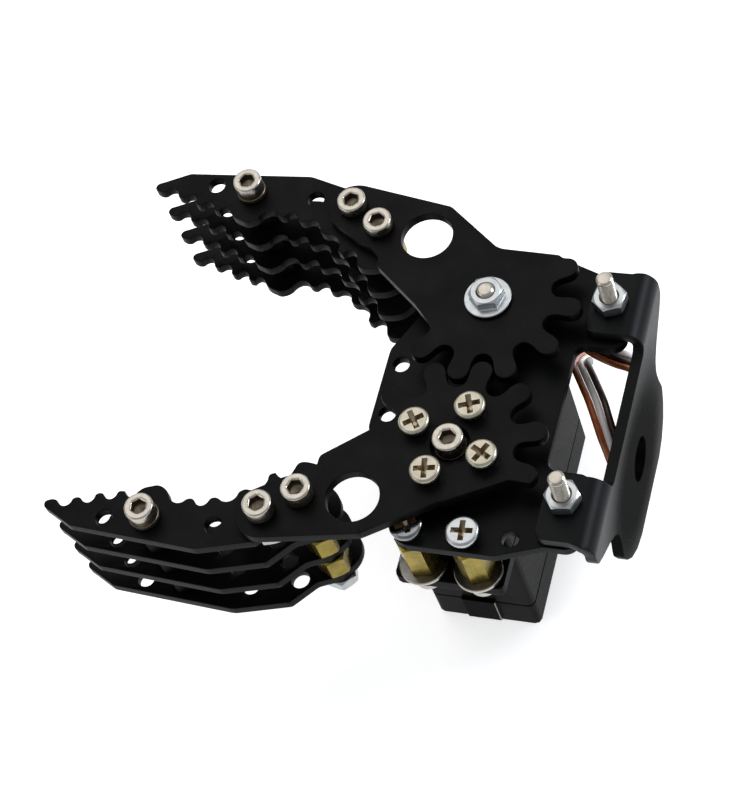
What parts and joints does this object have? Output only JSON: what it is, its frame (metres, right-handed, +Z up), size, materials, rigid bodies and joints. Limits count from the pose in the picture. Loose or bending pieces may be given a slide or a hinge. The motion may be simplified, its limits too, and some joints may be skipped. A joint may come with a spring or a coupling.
{
  "type": "desktop robot arm gripper",
  "caption": "Two-finger geared gripper with a servo drive and a bent wrist bracket, for the end of a desktop robot arm.",
  "frame": {"origin": "centre of the servo's bottom face between the two jaw axes, on the plane the gripper stands on", "axes": "+X forward along the fingers, +Y towards the servo-driven left finger, +Z up along the jaw axes"},
  "size_m": [0.0986, 0.0882, 0.0528],
  "materials": {
    "black_anodised": "fine sand-blasted black anodising, satin",
    "black_plastic": "moulded black nylon, satin",
    "nickel_steel": "bright nickel-plated steel",
    "brass": "turned brass",
    "white_nylon": "moulded natural nylon",
    "green_board": "green solder resist",
    "lead_insulation": "soft wire insulation in three colours"
  },
  "bodies": {
    "gripper_base": {"base_plate": "black_anodised", "bracket_bolt_1": "nickel_steel", "bracket_bolt_2": "nickel_steel", "bracket_nut_1": "nickel_steel", "bracket_nut_2": "nickel_steel", "control_board": "green_board", "gear_pin": "nickel_steel", "lead_coil": "lead_insulation", "lead_connector": "black_plastic", "pivot_bolt": "nickel_steel", "pivot_nut": "nickel_steel", "pivot_spacer": "brass", "plate_screw_1": "nickel_steel", "plate_screw_2": "nickel_steel", "plate_screw_3": "nickel_steel", "plate_screw_4": "nickel_steel", "potentiometer": "nickel_steel", "servo_case_bottom": "black_plastic", "servo_case_middle": "black_plastic", "servo_case_top": "black_plastic", "servo_lead": "lead_insulation", "servo_motor": "nickel_steel", "servo_standoff_1": "brass", "servo_standoff_2": "brass", "servo_standoff_3": "brass", "servo_standoff_4": "brass", "wrist_bracket": "black_anodised"},
    "left_jaw": {"left_gear_arm": "black_anodised", "left_grip_plate_1": "black_anodised", "left_grip_plate_2": "black_anodised", "left_grip_plate_3": "black_anodised", "left_grip_plate_4": "black_anodised", "left_inner_screw": "nickel_steel", "left_inner_spacers": "brass", "left_outer_nut": "nickel_steel", "left_outer_screw": "nickel_steel", "left_tip_screw": "nickel_steel", "left_tip_spacers": "black_anodised", "servo_horn": "black_anodised", "horn_screw_1": "nickel_steel", "horn_screw_2": "nickel_steel", "horn_screw_3": "nickel_steel", "horn_screw_4": "nickel_steel", "horn_centre_screw": "nickel_steel", "output_gear": "nickel_steel"},
    "right_jaw": {"right_gear_arm": "black_anodised", "right_grip_plate_1": "black_anodised", "right_grip_plate_2": "black_anodised", "right_grip_plate_3": "black_anodised", "right_grip_plate_4": "black_anodised", "right_inner_screw": "nickel_steel", "right_inner_spacers": "brass", "right_outer_nut": "nickel_steel", "right_outer_screw": "nickel_steel", "right_tip_screw": "nickel_steel", "right_tip_spacers": "black_anodised"},
    "first_gear": {"first_gear": "brass"},
    "second_gear": {"second_gear": "white_nylon"},
    "third_gear": {"third_gear": "white_nylon"},
    "motor_pinion": {"motor_pinion": "brass"}
  },
  "joints": [
    {"name": "left_jaw_hinge", "type": "hinge", "parent": "gripper_base", "child": "left_jaw", "pos_m": [0, 0.0146, 0], "axis": [0, 0, 1], "range_deg": [-26, 25]},
    {"name": "right_jaw_hinge", "type": "hinge", "parent": "gripper_base", "child": "right_jaw", "pos_m": [0, -0.0146, 0], "axis": [0, 0, 1], "range_deg": [-25, 26]},
    {"name": "third_gear_spin", "type": "hinge", "parent": "gripper_base", "child": "third_gear", "pos_m": [0, 0.00524, 0], "axis": [0, 0, 1], "range_deg": [-40, 41.6]},
    {"name": "second_gear_spin", "type": "hinge", "parent": "gripper_base", "child": "second_gear", "pos_m": [0, 0.0146, 0], "axis": [0, 0, 1], "range_deg": [-93.6, 90]},
    {"name": "first_gear_spin", "type": "hinge", "parent": "gripper_base", "child": "first_gear", "pos_m": [0, 0.00524, 0], "axis": [0, 0, 1], "range_deg": [-202.5, 210.6]},
    {"name": "motor_pinion_spin", "type": "hinge", "parent": "gripper_base", "child": "motor_pinion", "pos_m": [0, -0.00484, 0], "axis": [0, 0, 1], "range_deg": [-526.5, 506.25]}
  ],
  "couplings": [
    {"joint": "right_jaw_hinge", "follows": "left_jaw_hinge", "ratio": -1},
    {"joint": "third_gear_spin", "follows": "left_jaw_hinge", "ratio": -1.6},
    {"joint": "second_gear_spin", "follows": "left_jaw_hinge", "ratio": 3.6},
    {"joint": "first_gear_spin", "follows": "left_jaw_hinge", "ratio": -8.1},
    {"joint": "motor_pinion_spin", "follows": "left_jaw_hinge", "ratio": 20.25}
  ]
}
